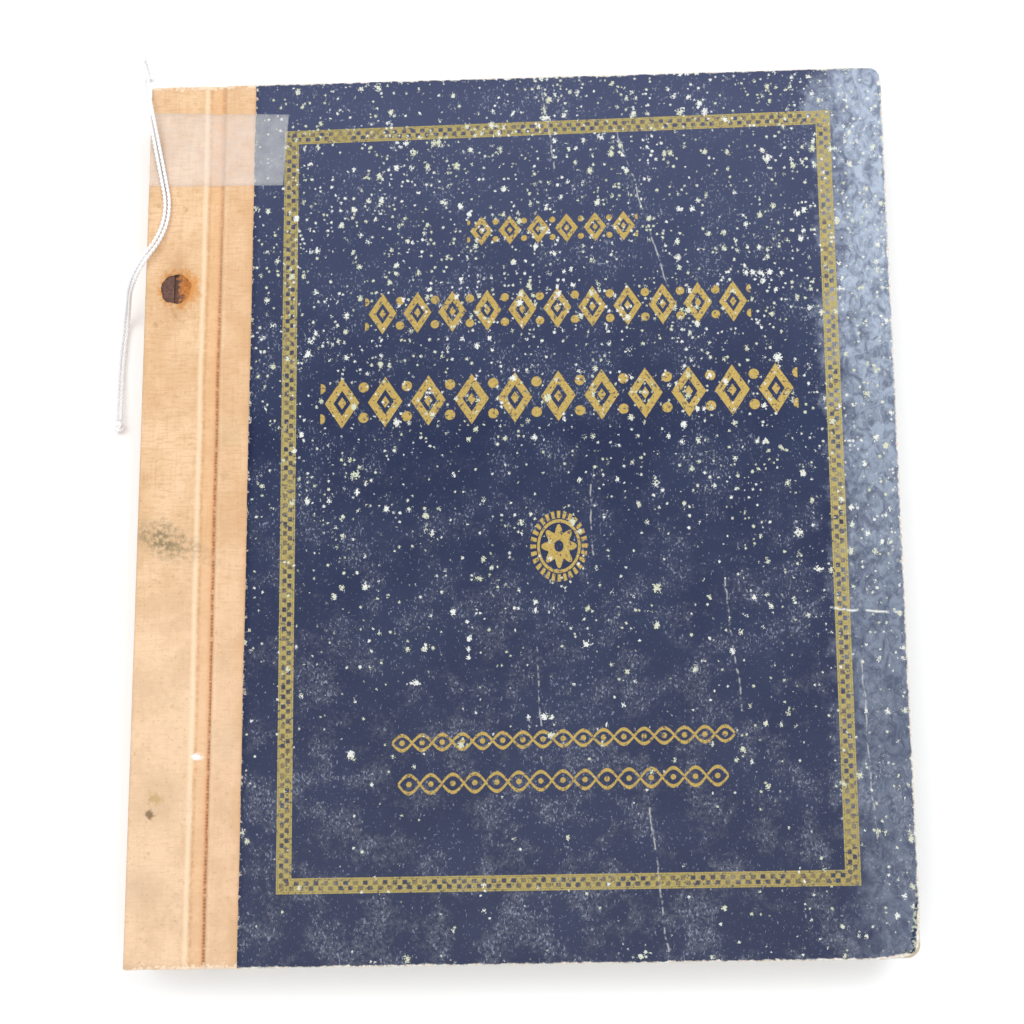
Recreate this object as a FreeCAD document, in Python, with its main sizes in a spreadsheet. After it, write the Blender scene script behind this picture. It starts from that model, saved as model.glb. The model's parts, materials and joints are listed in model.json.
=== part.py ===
import FreeCAD, Part
import math
import os
import Sketcher

# Quarto stamp album, lying on its back cover. +Z is up through the front cover, +X runs from the
# spine to the fore-edge and +Y to the head. The origin is the middle of the footprint.
# All lengths are in millimetres.

Vector = FreeCAD.Vector

DRIVING_SIZES = [
    ("album_wide", 216.0, "spine face to fore-edge"),
    ("album_tall", 254.0, "tail to head"),
    ("board_thick", 2.2, "strawboard of covers and binding strips"),
    ("wrap_thick", 0.35, "cloth or paper glued over the boards"),
    ("turn_in_thick", 0.2, "covering folded over to the inside"),
    ("turn_in_wide", 14.0, "how far the covering is folded in"),
    ("endpaper_thick", 0.15, "paper pasted inside each cover"),
    ("endpaper_margin", 4.5, "covering left showing round the endpaper"),
    ("strip_wide", 16.35, "binding strip board"),
    ("groove_wide", 5.9, "flexible cloth between strip and cover board"),
    ("quarter_wide", 8.8, "cloth showing on the cover board"),
    ("corner_round", 4.0, "rounded fore-edge corners"),
    ("air", 0.3, "clearance between pieces that move apart"),
    ("leaf_thick", 0.2, "one album leaf"),
    ("leaf_air", 0.06, "air between two leaves of a section"),
    ("leaf_inset", 3.0, "cover overhang at head and tail"),
    ("leaf_fore_inset", 4.0, "cover overhang at the fore-edge"),
    ("flex_wide", 15.0, "linen hinge between stub and leaf"),
    ("linen_thick", 0.16, "linen hinge"),
    ("hinge_inset", 0.4, "cover hinge line beyond the strip board"),
    ("post_x", 9.2, "binding posts, from the spine face"),
    ("post_y", 64.5, "binding posts, above and below the middle"),
    ("post_hole", 5.0, "hole for a binding post"),
    ("barrel_wide", 4.8, "barrel of a binding post"),
    ("bore_wide", 3.1, "threaded bore of a binding post"),
    ("screw_wide", 3.0, "shank of a post screw"),
    ("head_wide", 9.0, "heads of posts and screws"),
    ("head_thick", 1.2, "heads of posts and screws"),
    ("head_seat", 9.6, "recess for a head in the strip board"),
    ("slot_wide", 1.1, "screwdriver slot"),
    ("slot_deep", 0.6, "screwdriver slot"),
    ("post_gap", 0.1, "gap between a post's barrel and the head of its screw"),
    ("bore_deep", 9.0, "threaded bore, from the end of the barrel"),
    ("shank_long", 8.0, "shank of a post screw"),
    ("worn_hole", 8.8, "hole rusted through the cloth over the upper screw"),
    ("cut_margin", 1.0, "how far a cutting shape runs past what it cuts"),
    ("tape_tall", 23.6, "sticky tape across the hinge"),
    ("tape_wide", 41.2, "sticky tape across the hinge"),
    ("tape_thick", 0.08, "sticky tape"),
    ("tape_inset", 0.2, "spine face to the end of the tape"),
    ("tape_y", 95.3, "lower edge of the tape"),
    ("string_wide", 2.4, "the two strands of the ticket string, side by side"),
    ("knot_wide", 4.2, "knot of the ticket string"),
]
SECTIONS = 8
LEAVES_IN_SECTION = 5

# The ticket string, from its knot on the table beside the spine, up over the spine's edge, along
# the binding strip and down past the edge again to the bight of its loop.
STRING_ROUTE = [
    (-121.0, 30.0, 2.15),
    (-121.4, 42.0, 1.25),
    (-120.9, 53.0, 1.25),
    (-119.8, 62.5, 1.25),
    (-110.7, 67.8, 24.6),
    (-100.3, 84.5, 21.4),
    (-104.4, 104.0, 21.4),
    (-109.2, 129.5, 25.2),
    (-114.2, 136.5, 1.25),
    (-117.0, 145.0, 1.25),
]
ARC_SHARE = 0.45

# An edge counts as upright above this Z of its direction, and a pocket as cut above this volume.
UPRIGHT = 0.99
SMALLEST_CUT = 1.0

doc = FreeCAD.newDocument("StampAlbum")


def make_sheet():
    sizes = doc.addObject("Spreadsheet::Sheet", "Sizes")
    for row, (alias, value, note) in enumerate(DRIVING_SIZES, start=1):
        sizes.set("A%d" % row, note)
        sizes.set("B%d" % row, str(value))
        sizes.setAlias("B%d" % row, alias)
    doc.recompute()
    return sizes


sheet = make_sheet()


def cell(alias):
    return "Sizes." + alias


def plus(*terms):
    return "(" + " + ".join(terms) + ")"


def minus(first, *rest):
    return "(" + " - ".join((first,) + rest) + ")"


def times(count, term):
    return "(%s * %s)" % (count, term)


def size(expression):
    """The number that an expression on the sheet gives."""
    return float(sheet.evalExpression(expression))


# Heights above the table, from the back cover upwards.
SECTION_THICK = plus(
    times(LEAVES_IN_SECTION, cell("leaf_thick")), times(LEAVES_IN_SECTION - 1, cell("leaf_air"))
)
LINING = plus(cell("turn_in_thick"), cell("endpaper_thick"))
STRIP_INNER = plus(cell("wrap_thick"), cell("board_thick"))
COVER_INNER = plus(STRIP_INNER, LINING)
BLOCK_LOW = plus(COVER_INNER, cell("air"))
SINGLE_PITCH = plus(cell("leaf_thick"), cell("air"))
SECTION_PITCH = plus(SECTION_THICK, cell("air"))
TITLE_LOW = plus(BLOCK_LOW, SINGLE_PITCH, times(SECTIONS, SECTION_PITCH))
FLYLEAF_LOW = plus(TITLE_LOW, SINGLE_PITCH)
BLOCK_TOP = plus(FLYLEAF_LOW, cell("leaf_thick"))
TOP = plus(BLOCK_TOP, BLOCK_LOW)

# Places across the album, from the spine to the fore-edge.
HALF_WIDE = "(%s / 2)" % cell("album_wide")
HALF_TALL = "(%s / 2)" % cell("album_tall")
SPINE_FACE = "(-%s / 2)" % cell("album_wide")
STRIP_LOW = plus(SPINE_FACE, cell("wrap_thick"))
STRIP_HIGH = plus(STRIP_LOW, cell("strip_wide"))
BOARD_START = plus(STRIP_HIGH, cell("groove_wide"))
QUARTER_END = plus(BOARD_START, cell("quarter_wide"))
LEAF_START = plus(STRIP_HIGH, cell("flex_wide"))
LEAF_END = minus(HALF_WIDE, cell("leaf_fore_inset"))
LEAF_TALL = minus(cell("album_tall"), times(2, cell("leaf_inset")))
POST_X = plus(SPINE_FACE, cell("post_x"))


def place(obj, x="0", y="0", z="0"):
    for axis, expression in (("x", x), ("y", y), ("z", z)):
        obj.setExpression("Placement.Base." + axis, expression)
    return obj


def box(name, x, y, z, length, width, height):
    """A box whose low corner and sides are expressions on the sheet."""
    obj = doc.addObject("Part::Box", name)
    obj.setExpression("Length", length)
    obj.setExpression("Width", width)
    obj.setExpression("Height", height)
    return place(obj, x, y, z)


def cylinder(name, x, y, z, diameter, height):
    obj = doc.addObject("Part::Cylinder", name)
    obj.setExpression("Radius", diameter + " / 2")
    obj.setExpression("Height", height)
    return place(obj, x, y, z)


def sheet_of(name, x_low, x_high, z, thick, tall):
    """A flat piece, centred between head and tail."""
    return box(name, x_low, "(-%s / 2)" % tall, z, minus(x_high, x_low), tall, thick)


def cut(name, base, tool):
    obj = doc.addObject("Part::Cut", name)
    obj.Base = base
    obj.Tool = tool
    return obj


def common(name, base, tool):
    obj = doc.addObject("Part::Common", name)
    obj.Base = base
    obj.Tool = tool
    return obj


def fuse(name, *parts):
    obj = doc.addObject("Part::MultiFuse", name)
    obj.Shapes = list(parts)
    return obj


def group(name, *parts):
    obj = doc.addObject("Part::Compound", name)
    obj.Links = list(parts)
    return obj


def rounded(name, base, radius):
    """Rounds the two upright edges at the fore-edge of a plate."""
    doc.recompute()
    middle = base.Shape.BoundBox.Center.x
    edges = []
    for number, edge in enumerate(base.Shape.Edges, start=1):
        upright = abs(edge.tangentAt(edge.FirstParameter).z) > UPRIGHT
        if upright and edge.CenterOfMass.x > middle:
            edges.append((number, radius, radius))
    obj = doc.addObject("Part::Fillet", name)
    obj.Base = base
    obj.Edges = edges
    return obj


# --- boards, as sketched and padded bodies -------------------------------------------------------


def origin_plane(body, role):
    for feature in body.Origin.OriginFeatures:
        if feature.Role == role:
            return feature
    raise RuntimeError("no origin plane " + role)


def plate_sketch(body, name, wide, tall):
    """A rectangle centred on the body's origin, wide along X and tall along Y."""
    sketch = body.newObject("Sketcher::SketchObject", name)
    sketch.AttachmentSupport = [(origin_plane(body, "XY_Plane"), "")]
    sketch.MapMode = "FlatFace"
    half_wide = size(wide) / 2
    half_tall = size(tall) / 2
    corners = [
        Vector(-half_wide, -half_tall, 0),
        Vector(half_wide, -half_tall, 0),
        Vector(half_wide, half_tall, 0),
        Vector(-half_wide, half_tall, 0),
    ]
    for start, end in zip(corners, corners[1:] + corners[:1]):
        sketch.addGeometry(Part.LineSegment(start, end), False)
    for index in range(4):
        sketch.addConstraint(Sketcher.Constraint("Coincident", index, 2, (index + 1) % 4, 1))
    for index, kind in enumerate(("Horizontal", "Vertical", "Horizontal", "Vertical")):
        sketch.addConstraint(Sketcher.Constraint(kind, index))
    sketch.addConstraint(Sketcher.Constraint("Symmetric", 0, 1, 2, 1, -1, 1))
    across = sketch.addConstraint(Sketcher.Constraint("DistanceX", 0, 1, 0, 2, size(wide)))
    along = sketch.addConstraint(Sketcher.Constraint("DistanceY", 1, 1, 1, 2, size(tall)))
    sketch.renameConstraint(across, "wide")
    sketch.renameConstraint(along, "tall")
    sketch.setExpression("Constraints.wide", wide)
    sketch.setExpression("Constraints.tall", tall)
    return sketch


def plate_body(name, wide, tall, thick):
    body = doc.addObject("PartDesign::Body", name)
    pad = body.newObject("PartDesign::Pad", name + "_pad")
    pad.Profile = plate_sketch(body, name + "_outline", wide, tall)
    pad.setExpression("Length", thick)
    body.Tip = pad
    doc.recompute()
    return body


def strip_board(name, z, turned_over):
    """Binding strip: a narrow board with two holes, each recessed on the outside for a head."""
    tall = minus(cell("album_tall"), times(2, cell("wrap_thick")))
    body = plate_body(name, cell("strip_wide"), tall, cell("board_thick"))
    centre_x = minus(POST_X, STRIP_LOW, "%s / 2" % cell("strip_wide"))
    for feature, diameter, depth in (
        ("hole", cell("post_hole"), cell("board_thick")),
        ("recess", cell("head_seat"), cell("head_thick")),
    ):
        sketch = body.newObject("Sketcher::SketchObject", "%s_%s_outline" % (name, feature))
        sketch.AttachmentSupport = [(origin_plane(body, "XY_Plane"), "")]
        sketch.MapMode = "FlatFace"
        sketch.setExpression("AttachmentOffset.Base.x", centre_x)
        sketch.setExpression("AttachmentOffset.Base.z", cell("board_thick"))
        for side in (1, -1):
            centre = Vector(0, side * size(cell("post_y")), 0)
            circle = sketch.addGeometry(Part.Circle(centre, Vector(0, 0, 1), size(diameter) / 2), False)
            across = sketch.addConstraint(Sketcher.Constraint("Diameter", circle, size(diameter)))
            sketch.renameConstraint(across, "across%d" % circle)
            sketch.setExpression("Constraints.across%d" % circle, diameter)
        sketch.addConstraint(Sketcher.Constraint("PointOnObject", 0, 3, -2))
        sketch.addConstraint(Sketcher.Constraint("Symmetric", 0, 3, 1, 3, -1, 1))
        apart = sketch.addConstraint(Sketcher.Constraint("DistanceY", 1, 3, 0, 3, 2 * size(cell("post_y"))))
        sketch.renameConstraint(apart, "apart")
        sketch.setExpression("Constraints.apart", times(2, cell("post_y")))
        doc.recompute()
        volume = body.Shape.Volume
        pocket = body.newObject("PartDesign::Pocket", "%s_%s" % (name, feature))
        pocket.Profile = sketch
        pocket.setExpression("Length", depth)
        body.Tip = pocket
        doc.recompute()
        if body.Shape.Volume > volume - SMALLEST_CUT:
            raise RuntimeError("%s of %s removed nothing" % (feature, name))
    middle_x = plus(STRIP_LOW, "%s / 2" % cell("strip_wide"))
    if turned_over:
        body.Placement.Rotation = FreeCAD.Rotation(Vector(1, 0, 0), 180)
        return place(body, middle_x, "0", plus(z, cell("board_thick")))
    return place(body, middle_x, "0", z)


def cover_board(name, z):
    """Cover board, with the two fore-edge corners rounded."""
    wide = minus(HALF_WIDE, cell("wrap_thick"), BOARD_START)
    tall = minus(cell("album_tall"), times(2, cell("wrap_thick")))
    body = plate_body(name, wide, tall, cell("board_thick"))
    pad = body.Tip
    names = []
    for number, edge in enumerate(pad.Shape.Edges, start=1):
        upright = abs(edge.tangentAt(edge.FirstParameter).z) > UPRIGHT
        if upright and edge.CenterOfMass.x > 0:
            names.append("Edge%d" % number)
    corners = body.newObject("PartDesign::Fillet", name + "_corners")
    corners.Base = (pad, names)
    corners.setExpression("Radius", minus(cell("corner_round"), cell("wrap_thick")))
    body.Tip = corners
    return place(body, plus(BOARD_START, "%s / 2" % wide), "0", z)


# --- covers --------------------------------------------------------------------------------------


def cover(side):
    """One cover: board, paper covering, quarter cloth with its hinge, and endpaper."""
    front = side == "front"
    board_z = minus(TOP, cell("wrap_thick"), cell("board_thick")) if front else cell("wrap_thick")
    shell_z = minus(board_z, cell("turn_in_thick")) if front else "0"
    outer_z = plus(board_z, cell("board_thick")) if front else "0"
    turn_in_z = shell_z if front else plus(board_z, cell("board_thick"))
    paper_z = minus(shell_z, cell("endpaper_thick")) if front else plus(turn_in_z, cell("turn_in_thick"))
    tall = cell("album_tall")
    shell_thick = plus(cell("wrap_thick"), cell("board_thick"), cell("turn_in_thick"))

    board = cover_board(side + "_cover_board", board_z)

    envelope = rounded(
        side + "_envelope",
        sheet_of(side + "_envelope_plate", BOARD_START, HALF_WIDE, shell_z, shell_thick, tall),
        size(cell("corner_round")),
    )
    inner_tall = minus(tall, times(2, cell("wrap_thick")))
    inner_end = minus(HALF_WIDE, cell("wrap_thick"))
    cavity = rounded(
        side + "_cavity",
        sheet_of(side + "_cavity_plate", BOARD_START, inner_end, board_z, cell("board_thick"), inner_tall),
        size(minus(cell("corner_round"), cell("wrap_thick"))),
    )
    shell = cut(side + "_shell", envelope, cavity)
    window_end = minus(HALF_WIDE, cell("turn_in_wide"))
    window_tall = minus(tall, times(2, cell("turn_in_wide")))
    window = sheet_of(
        side + "_window", BOARD_START, window_end, turn_in_z, cell("turn_in_thick"), window_tall
    )
    covering = cut(side + "_covering", shell, window)
    paper_part = sheet_of(side + "_paper_part", QUARTER_END, HALF_WIDE, shell_z, shell_thick, tall)
    cloth_part = sheet_of(side + "_cloth_part", BOARD_START, QUARTER_END, shell_z, shell_thick, tall)
    paper = common(side + "_cover_paper", covering, paper_part)
    cloth = common(side + "_quarter_cloth", covering, cloth_part)

    lining_end = minus(HALF_WIDE, cell("endpaper_margin"))
    lining_tall = minus(tall, times(2, cell("endpaper_margin")))
    over_turn_in = sheet_of(
        side + "_endpaper_sheet", BOARD_START, lining_end, paper_z, cell("endpaper_thick"), lining_tall
    )
    against_board = sheet_of(
        side + "_endpaper_fill", BOARD_START, window_end, turn_in_z, cell("turn_in_thick"), window_tall
    )
    endpaper = fuse(side + "_endpaper", over_turn_in, against_board)

    hinge = sheet_of(
        side + "_hinge_cloth", STRIP_HIGH, BOARD_START, outer_z, cell("wrap_thick"), tall
    )
    return [board, paper, cloth, endpaper, hinge]


# --- binding -------------------------------------------------------------------------------------


def spine_cloth():
    """One strip of cloth round both binding strips and the spine, worn through over one screw."""
    tall = cell("album_tall")
    outside = sheet_of("spine_cloth_outside", SPINE_FACE, STRIP_HIGH, "0", TOP, tall)
    inside = sheet_of(
        "spine_cloth_inside",
        STRIP_LOW,
        plus(STRIP_HIGH, cell("cut_margin")),
        cell("wrap_thick"),
        minus(TOP, times(2, cell("wrap_thick"))),
        plus(tall, times(2, cell("cut_margin"))),
    )
    hole_z = minus(TOP, cell("cut_margin"))
    hole_deep = times(2, cell("cut_margin"))
    hole = cylinder("worn_hole", POST_X, cell("post_y"), hole_z, cell("worn_hole"), hole_deep)
    folded = cut("spine_cloth_folded", outside, inside)
    return cut("spine_cloth", folded, hole)


def post_holes(name, z, height):
    upper = cylinder(name + "_upper", POST_X, cell("post_y"), z, cell("post_hole"), height)
    lower = cylinder(name + "_lower", POST_X, "-" + cell("post_y"), z, cell("post_hole"), height)
    return group(name, upper, lower)


def punched(name, sheets):
    """Strips held by the posts: each is drilled, and all of them stay separate pieces."""
    drilled = []
    for index, (z, thick) in enumerate(sheets, start=1):
        blank = sheet_of("%s_blank_%d" % (name, index), STRIP_LOW, STRIP_HIGH, z, thick, LEAF_TALL)
        drill_z = minus(z, cell("cut_margin"))
        drill_deep = plus(thick, times(2, cell("cut_margin")))
        drill = post_holes("%s_drill_%d" % (name, index), drill_z, drill_deep)
        drilled.append(cut("%s_%d" % (name, index), blank, drill))
    return group(name, *drilled)


def leaf_levels():
    """Name, low height and thickness of each group of leaves, from the back to the front."""
    levels = [("back_flyleaf", BLOCK_LOW, cell("leaf_thick"))]
    first = plus(BLOCK_LOW, SINGLE_PITCH)
    for number in range(SECTIONS, 0, -1):
        low = plus(first, times(SECTIONS - number, SECTION_PITCH))
        levels.append(("leaf_section_%d" % number, low, SECTION_THICK))
    levels.append(("title_leaf", TITLE_LOW, cell("leaf_thick")))
    levels.append(("front_flyleaf", FLYLEAF_LOW, cell("leaf_thick")))
    return levels


def stubs_and_guards():
    """The bound edges of the leaves, and the card guards that keep them apart."""
    levels = leaf_levels()
    stubs = punched("leaf_stubs", [(low, thick) for name, low, thick in levels])
    end_guard = minus(BLOCK_LOW, STRIP_INNER)
    guards = [(STRIP_INNER, end_guard)]
    for name, low, thick in levels[:-1]:
        guards.append((plus(low, thick), cell("air")))
    guards.append((BLOCK_TOP, end_guard))
    return [stubs, punched("guard_strips", guards)]


def binding_post(name, y):
    """Post from the back: a flat head and a barrel with a threaded bore."""
    head_z = cell("wrap_thick")
    head = cylinder(name + "_head", POST_X, y, head_z, cell("head_wide"), cell("head_thick"))
    top = minus(TOP, cell("wrap_thick"), cell("head_thick"), cell("post_gap"))
    barrel_z = plus(head_z, cell("head_thick"))
    barrel = cylinder(
        name + "_barrel", POST_X, y, barrel_z, cell("barrel_wide"), minus(top, barrel_z)
    )
    bore_z = minus(top, cell("bore_deep"))
    bore_long = plus(cell("bore_deep"), cell("cut_margin"))
    bore = cylinder(name + "_bore", POST_X, y, bore_z, cell("bore_wide"), bore_long)
    return cut(name, fuse(name + "_solid", head, barrel), bore)


def post_screw(name, y):
    """Screw from the front: a flat slotted head and a shank that goes into the post."""
    head_z = minus(TOP, cell("wrap_thick"), cell("head_thick"))
    head = cylinder(name + "_head", POST_X, y, head_z, cell("head_wide"), cell("head_thick"))
    shank_z = minus(head_z, cell("shank_long"))
    shank = cylinder(name + "_shank", POST_X, y, shank_z, cell("screw_wide"), cell("shank_long"))
    slot = box(
        name + "_slot",
        minus(POST_X, "%s / 2" % cell("slot_wide")),
        minus(y, cell("head_wide")),
        minus(TOP, cell("wrap_thick"), cell("slot_deep")),
        cell("slot_wide"),
        times(2, cell("head_wide")),
        cell("cut_margin"),
    )
    return cut(name, fuse(name + "_solid", head, shank), slot)


# --- leaves --------------------------------------------------------------------------------------


def leaf_group(name, low, leaves):
    """Separate leaves, and the linen strips that hinge each of them to its stub."""
    pitch = plus(cell("leaf_thick"), cell("leaf_air"))
    linen_low = "(%s - %s) / 2" % (cell("leaf_thick"), cell("linen_thick"))
    sheets = []
    linens = []
    for index in range(leaves):
        z = plus(low, times(index, pitch))
        tag = "%s_sheet_%d" % (name, index + 1)
        sheets.append(sheet_of(tag, LEAF_START, LEAF_END, z, cell("leaf_thick"), LEAF_TALL))
        tag = "%s_linen_%d" % (name, index + 1)
        linens.append(
            sheet_of(tag, STRIP_HIGH, LEAF_START, plus(z, linen_low), cell("linen_thick"), LEAF_TALL)
        )
    return [group(name, *sheets), group(name + "_hinge", *linens)]


# --- tape and ticket string ----------------------------------------------------------------------


def tape():
    return box(
        "tape_strip",
        plus(SPINE_FACE, cell("tape_inset")),
        cell("tape_y"),
        TOP,
        cell("tape_wide"),
        cell("tape_tall"),
        cell("tape_thick"),
    )


def rounded_path(points):
    """Straight runs joined by tangent arcs, each as large as its two runs allow."""
    corners = [Vector(*point) for point in points]
    edges = []
    start = corners[0]
    for before, corner, after in zip(corners, corners[1:], corners[2:]):
        run_in = corner - before
        run_out = after - corner
        turn = run_in.getAngle(run_out)
        back = ARC_SHARE * min(run_in.Length, run_out.Length)
        arc_in = corner - run_in.normalize() * back
        arc_out = corner + run_out.normalize() * back
        radius = back / math.tan(turn / 2)
        print("string bend %.0f degrees, radius %.1f mm" % (math.degrees(turn), radius))
        towards_centre = (run_out - run_in).normalize()
        middle = corner + towards_centre * (math.hypot(radius, back) - radius)
        edges.append(Part.LineSegment(start, arc_in).toShape())
        edges.append(Part.Arc(arc_in, middle, arc_out).toShape())
        start = arc_out
    edges.append(Part.LineSegment(start, corners[-1]).toShape())
    return Part.Wire(edges)


def ticket_string():
    """The doubled string of a ticket, as one tube, and the knot at its end."""
    path = rounded_path(STRING_ROUTE)
    radius = size(cell("string_wide")) / 2
    start = path.Edges[0].Vertexes[0].Point
    direction = path.Edges[0].tangentAt(path.Edges[0].FirstParameter)
    profile = Part.Wire([Part.Circle(start, direction, radius).toShape()])
    tube = path.makePipeShell([profile], True, True)
    section = math.pi * radius ** 2
    print("string length %.1f, volume ratio %.4f" % (path.Length, tube.Volume / (section * path.Length)))
    string = doc.addObject("Part::Feature", "ticket_string")
    string.Shape = tube
    knot_radius = size(cell("knot_wide")) / 2
    flat_at = math.sqrt(knot_radius ** 2 - radius ** 2)
    latitude = math.degrees(math.asin(flat_at / knot_radius))
    knot = doc.addObject("Part::Feature", "ticket_string_knot")
    knot.Shape = Part.makeSphere(knot_radius, start - direction * flat_at, direction, -90, latitude)
    return [string, knot]


# --- assembly ------------------------------------------------------------------------------------


def build():
    nodes = [
        strip_board("front_strip_board", minus(TOP, STRIP_INNER), False),
        strip_board("back_strip_board", cell("wrap_thick"), True),
        spine_cloth(),
    ]
    nodes += stubs_and_guards()
    for end, y in (("upper", cell("post_y")), ("lower", "-" + cell("post_y"))):
        nodes.append(binding_post(end + "_binding_post", y))
        nodes.append(post_screw(end + "_post_screw", y))
    nodes += cover("front")
    nodes += cover("back")
    for name, low, thick in leaf_levels():
        leaves = LEAVES_IN_SECTION if name.startswith("leaf_section") else 1
        nodes += leaf_group(name, low, leaves)
    nodes.append(tape())
    nodes += ticket_string()
    return nodes


def check_and_export(nodes):
    doc.recompute()
    for obj in doc.Objects:
        if "Invalid" in obj.State or "Error" in obj.State:
            raise RuntimeError("%s failed: %s" % (obj.Name, obj.State))
    for node in nodes:
        if node.Shape.isNull() or not node.Shape.isValid():
            raise RuntimeError(node.Label + " has no valid shape")
    os.makedirs("parts", exist_ok=True)
    for node in nodes:
        node.Shape.exportStep("parts/%s.step" % node.Label)
    print("%d nodes, %.2f mm thick" % (len(nodes), size(TOP)))


check_and_export(build())
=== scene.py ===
import json
import random
from math import copysign, cos, hypot, pi, radians, sin

import bpy
from mathutils import Euler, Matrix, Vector, noise

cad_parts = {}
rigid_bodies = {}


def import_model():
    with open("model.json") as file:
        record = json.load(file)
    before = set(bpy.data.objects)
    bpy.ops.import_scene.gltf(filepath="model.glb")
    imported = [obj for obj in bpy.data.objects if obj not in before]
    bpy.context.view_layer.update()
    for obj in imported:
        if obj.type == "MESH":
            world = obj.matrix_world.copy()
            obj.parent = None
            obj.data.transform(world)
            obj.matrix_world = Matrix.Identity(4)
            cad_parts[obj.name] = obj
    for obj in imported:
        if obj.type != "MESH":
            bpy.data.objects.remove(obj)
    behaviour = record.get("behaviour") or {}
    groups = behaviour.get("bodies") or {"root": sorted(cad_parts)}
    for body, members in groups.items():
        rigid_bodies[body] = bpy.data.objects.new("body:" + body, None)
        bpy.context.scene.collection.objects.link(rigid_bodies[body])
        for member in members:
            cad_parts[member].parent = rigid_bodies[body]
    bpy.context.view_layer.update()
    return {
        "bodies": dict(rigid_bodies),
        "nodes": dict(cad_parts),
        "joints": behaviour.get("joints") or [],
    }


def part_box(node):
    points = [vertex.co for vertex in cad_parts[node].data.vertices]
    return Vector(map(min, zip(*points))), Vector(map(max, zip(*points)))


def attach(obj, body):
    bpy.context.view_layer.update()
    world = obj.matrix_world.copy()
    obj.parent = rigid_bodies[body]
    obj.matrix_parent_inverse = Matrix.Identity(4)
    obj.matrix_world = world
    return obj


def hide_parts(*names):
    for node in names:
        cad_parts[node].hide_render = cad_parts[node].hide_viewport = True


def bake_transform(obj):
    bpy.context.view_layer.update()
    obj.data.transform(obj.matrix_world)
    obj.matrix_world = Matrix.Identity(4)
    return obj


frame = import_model()

MM = 0.001

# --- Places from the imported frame, in metres ---

SPINE_LOW, SPINE_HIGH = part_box("spine_cloth")
PAPER_LOW, PAPER_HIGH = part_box("front_cover_paper")
LEAF_LOW, LEAF_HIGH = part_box("title_leaf")
SCREW_LOW, SCREW_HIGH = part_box("upper_post_screw")

SPINE_X, STRIP_END = SPINE_LOW.x, SPINE_HIGH.x
HALF_TALL, TOP = SPINE_HIGH.y, SPINE_HIGH.z
GROOVE_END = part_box("front_cover_board")[0].x
PAPER_START, FORE_EDGE = PAPER_LOW.x, PAPER_HIGH.x
COVER_THICK = TOP - PAPER_LOW.z
STRIP_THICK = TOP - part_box("front_strip_board")[0].z
LEAF_END, LEAF_HALF_TALL = LEAF_HIGH.x, LEAF_HIGH.y
LEAF_THICK = LEAF_HIGH.z - LEAF_LOW.z
SCREW = (SCREW_LOW + SCREW_HIGH) / 2
HINGES = {joint["name"]: joint for joint in frame["joints"]}

CLOTH_THICK = 0.3 * MM
PAPER_THICK = 0.25 * MM
SPINE_ROUND = 1.2 * MM
STRING_WIDE = 2.4 * MM


def placed(name, data):
    """A new object with this data, in the scene."""
    thing = bpy.data.objects.new(name, data)
    bpy.context.scene.collection.objects.link(thing)
    return thing


# --- Camera ---

LENS_MM, SENSOR_MM = 50.0, 36.0
CAMERA_SHIFT = (-0.1084, 0.0254)
CAMERA_PLACE = (0.0393, -0.0705, 0.4145)
CAMERA_TURNS = (8.49, 1.51, -1.0)


def add_camera():
    data = bpy.data.cameras.new("camera")
    data.lens, data.sensor_width = LENS_MM, SENSOR_MM
    data.shift_x, data.shift_y = CAMERA_SHIFT
    camera = placed("camera", data)
    camera.location = CAMERA_PLACE
    camera.rotation_euler = Euler([radians(turn) for turn in CAMERA_TURNS], "XYZ")
    bpy.context.scene.camera = camera


add_camera()


# --- Material building ---


class Field:
    """A number that varies over a surface, held by a socket of one paint's node tree."""

    def __init__(self, paint, socket):
        self.paint = paint
        self.socket = socket

    def math(self, operation, *others):
        node = self.paint.node("Math")
        node.operation = operation
        for index, value in enumerate((self,) + others):
            self.paint.feed(node.inputs[index], value)
        return Field(self.paint, node.outputs[0])

    def __add__(self, other):
        return self.math("ADD", other)

    __radd__ = __add__

    def __sub__(self, other):
        return self.math("SUBTRACT", other)

    def __rsub__(self, other):
        return self.math("MULTIPLY_ADD", -1.0, other)

    def __mul__(self, other):
        return self.math("MULTIPLY", other)

    def __abs__(self):
        return self.math("ABSOLUTE")

    def lowest(self, other):
        return self.math("MINIMUM", other)

    def highest(self, other):
        return self.math("MAXIMUM", other)

    def folded(self, pitch):
        """Distance to the nearest multiple of pitch."""
        return self.math("PINGPONG", pitch / 2)

    def ramp(self, low, high):
        """0 at low and 1 at high, clamped. low may be the larger."""
        node = self.paint.node("MapRange", {"From Min": low, "From Max": high, "Value": self})
        return Field(self.paint, node.outputs["Result"])

    def below(self, limit, soft=0.05):
        return self.ramp(limit + soft, limit - soft)

    def above(self, limit, soft=0.05):
        return self.ramp(limit - soft, limit + soft)


def longest(x, y):
    """Length of the flat vector (x, y)."""
    return (x * x + y * y).math("SQRT")


def chosen(mask, under, over):
    """The number over where mask is 1."""
    return under + (over - under) * mask


UNSTRETCHED = (1.0, 1.0, 1.0)
UNMOVED = (0.0, 0.0, 0.0)
FLAKE_ROUGHNESS, FLAKE_WARP = 0.6, 0.5
SPOT_WOBBLE = 2.2
SPOT_SMALLEST = 0.2
SPOT_SOFT = 0.06


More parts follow.
